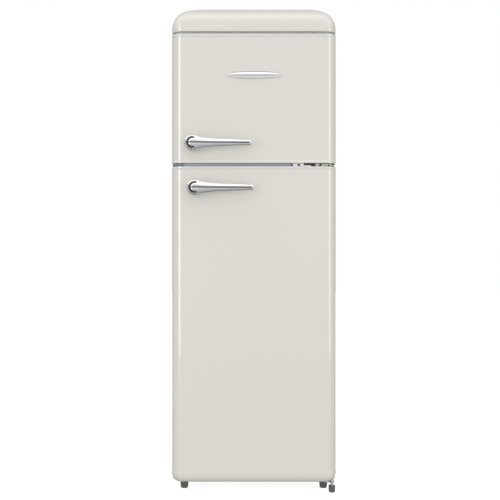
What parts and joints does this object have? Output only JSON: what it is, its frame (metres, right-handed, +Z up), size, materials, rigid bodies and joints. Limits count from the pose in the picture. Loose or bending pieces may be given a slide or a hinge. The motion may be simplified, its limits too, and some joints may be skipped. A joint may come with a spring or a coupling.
{
  "type": "fridge freezer",
  "caption": "Tall retro-styled upright refrigerator with a freezer over the fridge, separate right-hinged doors, rounded crown, lever handles and levelling feet.",
  "frame": {"origin": "middle of the floor under the object's box, handles and rear condenser included", "axes": "+Z up, the doors face -Y, +X to the right as seen from the front"},
  "size_m": [0.545, 0.6288, 1.612],
  "materials": {
    "enamel": "warm white-grey gloss enamel",
    "cabinet_paint": "fine-textured satin paint in the door's colour",
    "chrome": "bright polished plating",
    "zinc": "zinc-plated steel",
    "white_plastic": "vacuum-formed white plastic",
    "foam": "rigid insulating foam",
    "seal": "soft light grey seal",
    "shelf_glass": "toughened glass",
    "clear_plastic": "clear moulded plastic",
    "black_steel": "semi-gloss black paint",
    "copper": "bare copper",
    "foot_plastic": "matt dark grey plastic",
    "galvanised": "galvanised sheet",
    "aluminium": "mill-finish sheet"
  },
  "bodies": {
    "cabinet": {"outer_wrap": "cabinet_paint", "back_panel": "galvanised", "base_pan": "cabinet_paint", "cabinet_foam": "foam", "evaporator_plate": "aluminium", "fridge_liner": "white_plastic", "freezer_liner": "white_plastic", "mullion_rail": "cabinet_paint", "top_cap": "enamel", "top_hinge": "zinc", "middle_hinge": "zinc", "bottom_hinge": "zinc", "rear_foot_left": "foot_plastic", "rear_foot_right": "foot_plastic", "compressor_rail": "galvanised", "compressor": "black_steel", "terminal_box": "black_steel", "drip_tray": "white_plastic", "condenser_coil": "black_steel", "condenser_bracket": "black_steel", "filter_dryer": "copper", "shelf_lower": "shelf_glass", "shelf_middle": "shelf_glass", "shelf_upper": "shelf_glass", "crisper_cover": "shelf_glass", "freezer_shelf": "shelf_glass", "ice_tray": "white_plastic", "thermostat_housing": "white_plastic", "lamp_cover": "clear_plastic", "lamp_bulb": "shelf_glass", "switch_housing": "white_plastic"},
    "freezer_door": {"freezer_door_skin": "enamel", "freezer_door_foam": "foam", "freezer_door_lower_end": "enamel", "freezer_door_upper_end": "enamel", "freezer_door_liner": "white_plastic", "freezer_door_gasket": "seal", "freezer_door_lower_bin": "clear_plastic", "freezer_door_upper_bin": "clear_plastic", "freezer_handle_base": "chrome", "freezer_handle_lever": "chrome", "freezer_door_emblem": "chrome"},
    "fridge_door": {"fridge_door_skin": "enamel", "fridge_door_foam": "foam", "fridge_door_lower_end": "enamel", "fridge_door_upper_end": "enamel", "fridge_door_liner": "white_plastic", "fridge_door_gasket": "seal", "fridge_door_bottle_bin": "clear_plastic", "fridge_door_middle_bin": "clear_plastic", "fridge_door_upper_bin": "clear_plastic", "fridge_handle_base": "chrome", "fridge_handle_lever": "chrome"},
    "crisper": {"crisper_drawer": "clear_plastic"},
    "thermostat": {"thermostat_knob": "white_plastic"},
    "light_switch": {"light_switch_plunger": "white_plastic"},
    "left_foot": {"front_foot_left": "foot_plastic"},
    "right_foot": {"front_foot_right": "foot_plastic"},
    "pin_foot": {"hinge_foot": "foot_plastic"}
  },
  "joints": [
    {"name": "freezer_door_hinge", "type": "hinge", "parent": "cabinet", "child": "freezer_door", "pos_m": [0.2607, -0.2295, 1.3095], "axis": [0, 0, 1], "range_deg": [0, 130]},
    {"name": "fridge_door_hinge", "type": "hinge", "parent": "cabinet", "child": "fridge_door", "pos_m": [0.2607, -0.2295, 0.5605], "axis": [0, 0, 1], "range_deg": [0, 130]},
    {"name": "crisper_slide", "type": "slide", "parent": "cabinet", "child": "crisper", "axis": [0, -1, 0], "range_m": [0, 0.14]},
    {"name": "light_switch_slide", "type": "slide", "parent": "cabinet", "child": "light_switch", "axis": [0, -1, 0], "range_m": [0, 0.005]},
    {"name": "thermostat_turn", "type": "hinge", "parent": "cabinet", "child": "thermostat", "pos_m": [0.1555, -0.0085, 1.0315], "axis": [-1, 0, 0], "range_deg": [0, 270]},
    {"name": "left_foot_turn", "type": "hinge", "parent": "cabinet", "child": "left_foot", "pos_m": [-0.2365, -0.1705, 0], "axis": [0, 0, 1], "continuous": true},
    {"name": "right_foot_turn", "type": "hinge", "parent": "cabinet", "child": "right_foot", "pos_m": [0.2365, -0.1705, 0], "axis": [0, 0, 1], "continuous": true},
    {"name": "pin_foot_turn", "type": "hinge", "parent": "cabinet", "child": "pin_foot", "pos_m": [0.2607, -0.2295, 0], "axis": [0, 0, 1], "continuous": true}
  ],
  "couplings": [
    {"joint": "crisper_slide", "follows": "fridge_door_hinge", "m_per_rad": 0.0617},
    {"joint": "light_switch_slide", "follows": "fridge_door_hinge", "m_per_rad": 0.0022}
  ]
}
